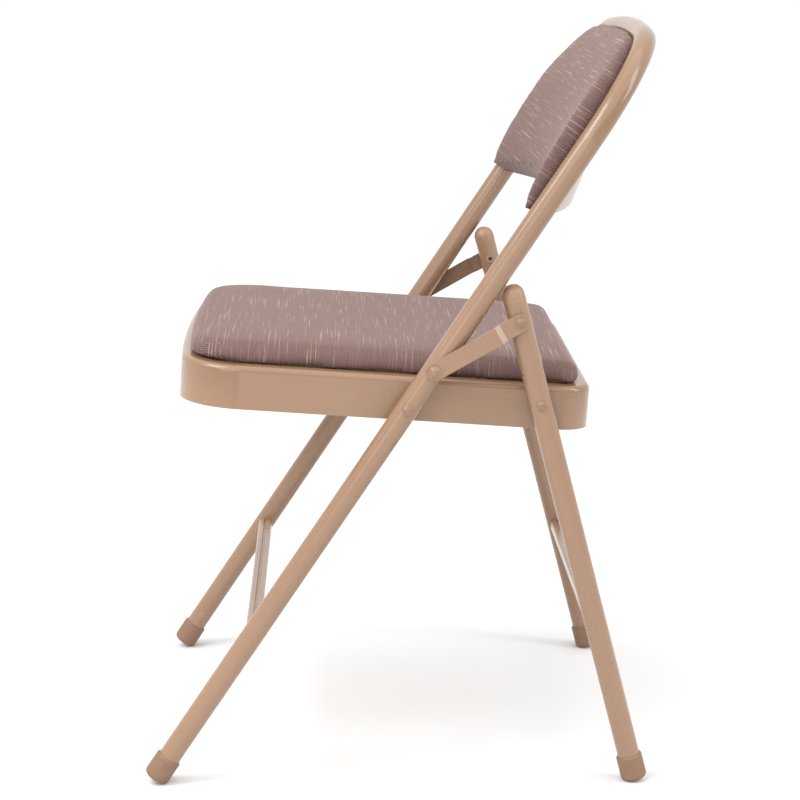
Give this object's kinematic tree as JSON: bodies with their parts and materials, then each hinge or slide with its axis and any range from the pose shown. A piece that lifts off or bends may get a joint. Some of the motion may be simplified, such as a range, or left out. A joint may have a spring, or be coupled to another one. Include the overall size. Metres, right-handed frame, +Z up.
{
  "type": "folding chair",
  "caption": "Tubular steel folding chair with a padded fabric seat in a metal pan, a padded backrest inside the hoop, linked rear legs and capped feet.",
  "frame": {"origin": "on the floor, at the centre of the overall footprint box", "axes": "+Z up, -Y the way the sitter faces, +X the sitter's left"},
  "size_m": [0.492, 0.5062, 0.7508],
  "materials": {
    "frame_paint": "gloss tan enamel",
    "rivet_paint": "satin tan enamel",
    "upholstery": "fine twill with pale slub yarns",
    "foot_plastic": "matte moulded",
    "spacer_plastic": "satin",
    "board": "raw board",
    "screw_steel": "zinc plated"
  },
  "bodies": {
    "front_frame": {"front_frame_tube": "frame_paint", "front_brace": "frame_paint", "back_panel": "frame_paint", "back_pad": "upholstery", "front_foot_left": "foot_plastic", "front_foot_right": "foot_plastic", "seat_pivot_rivet_left": "rivet_paint", "seat_pivot_rivet_right": "rivet_paint", "link_front_rivet_left": "rivet_paint", "link_front_rivet_right": "rivet_paint"},
    "seat": {"seat_pan": "frame_paint", "seat_board": "board", "seat_cushion": "upholstery", "seat_screws": "screw_steel", "pan_side_plate_left": "frame_paint", "pan_side_plate_right": "frame_paint", "seat_pivot_spacer_left": "spacer_plastic", "seat_pivot_spacer_right": "spacer_plastic", "rear_pivot_spacer_left": "spacer_plastic", "rear_pivot_spacer_right": "spacer_plastic"},
    "rear_frame": {"rear_leg_left": "frame_paint", "rear_leg_right": "frame_paint", "rear_brace": "frame_paint", "rear_leg_cap_left": "foot_plastic", "rear_leg_cap_right": "foot_plastic", "rear_foot_left": "foot_plastic", "rear_foot_right": "foot_plastic", "rear_pivot_rivet_left": "rivet_paint", "rear_pivot_rivet_right": "rivet_paint", "link_rivet_tail_left": "rivet_paint", "link_rivet_tail_right": "rivet_paint"},
    "link_left": {"link_left": "frame_paint", "link_rear_rivet_left": "rivet_paint"},
    "link_right": {"link_right": "frame_paint", "link_rear_rivet_right": "rivet_paint"}
  },
  "joints": [
    {"name": "seat_fold", "type": "hinge", "parent": "front_frame", "child": "seat", "pos_m": [0, 0.00502, 0.3812], "axis": [-1, 0, 0], "range_deg": [0, 105]},
    {"name": "rear_leg_fold", "type": "hinge", "parent": "seat", "child": "rear_frame", "pos_m": [0, 0.13561, 0.3852], "axis": [1, 0, 0], "range_deg": [0, 55.13]},
    {"name": "link_fold_left", "type": "hinge", "parent": "front_frame", "child": "link_left", "pos_m": [0, 0.03094, 0.4204], "axis": [-1, 0, 0], "range_deg": [0, 126.01]},
    {"name": "link_fold_right", "type": "hinge", "parent": "front_frame", "child": "link_right", "pos_m": [0, 0.03094, 0.4204], "axis": [-1, 0, 0], "range_deg": [0, 126.01]}
  ],
  "couplings": [
    {"joint": "rear_leg_fold", "follows": "seat_fold", "ratio": 0.525},
    {"joint": "link_fold_left", "follows": "seat_fold", "ratio": 1.2},
    {"joint": "link_fold_right", "follows": "seat_fold", "ratio": 1.2}
  ]
}
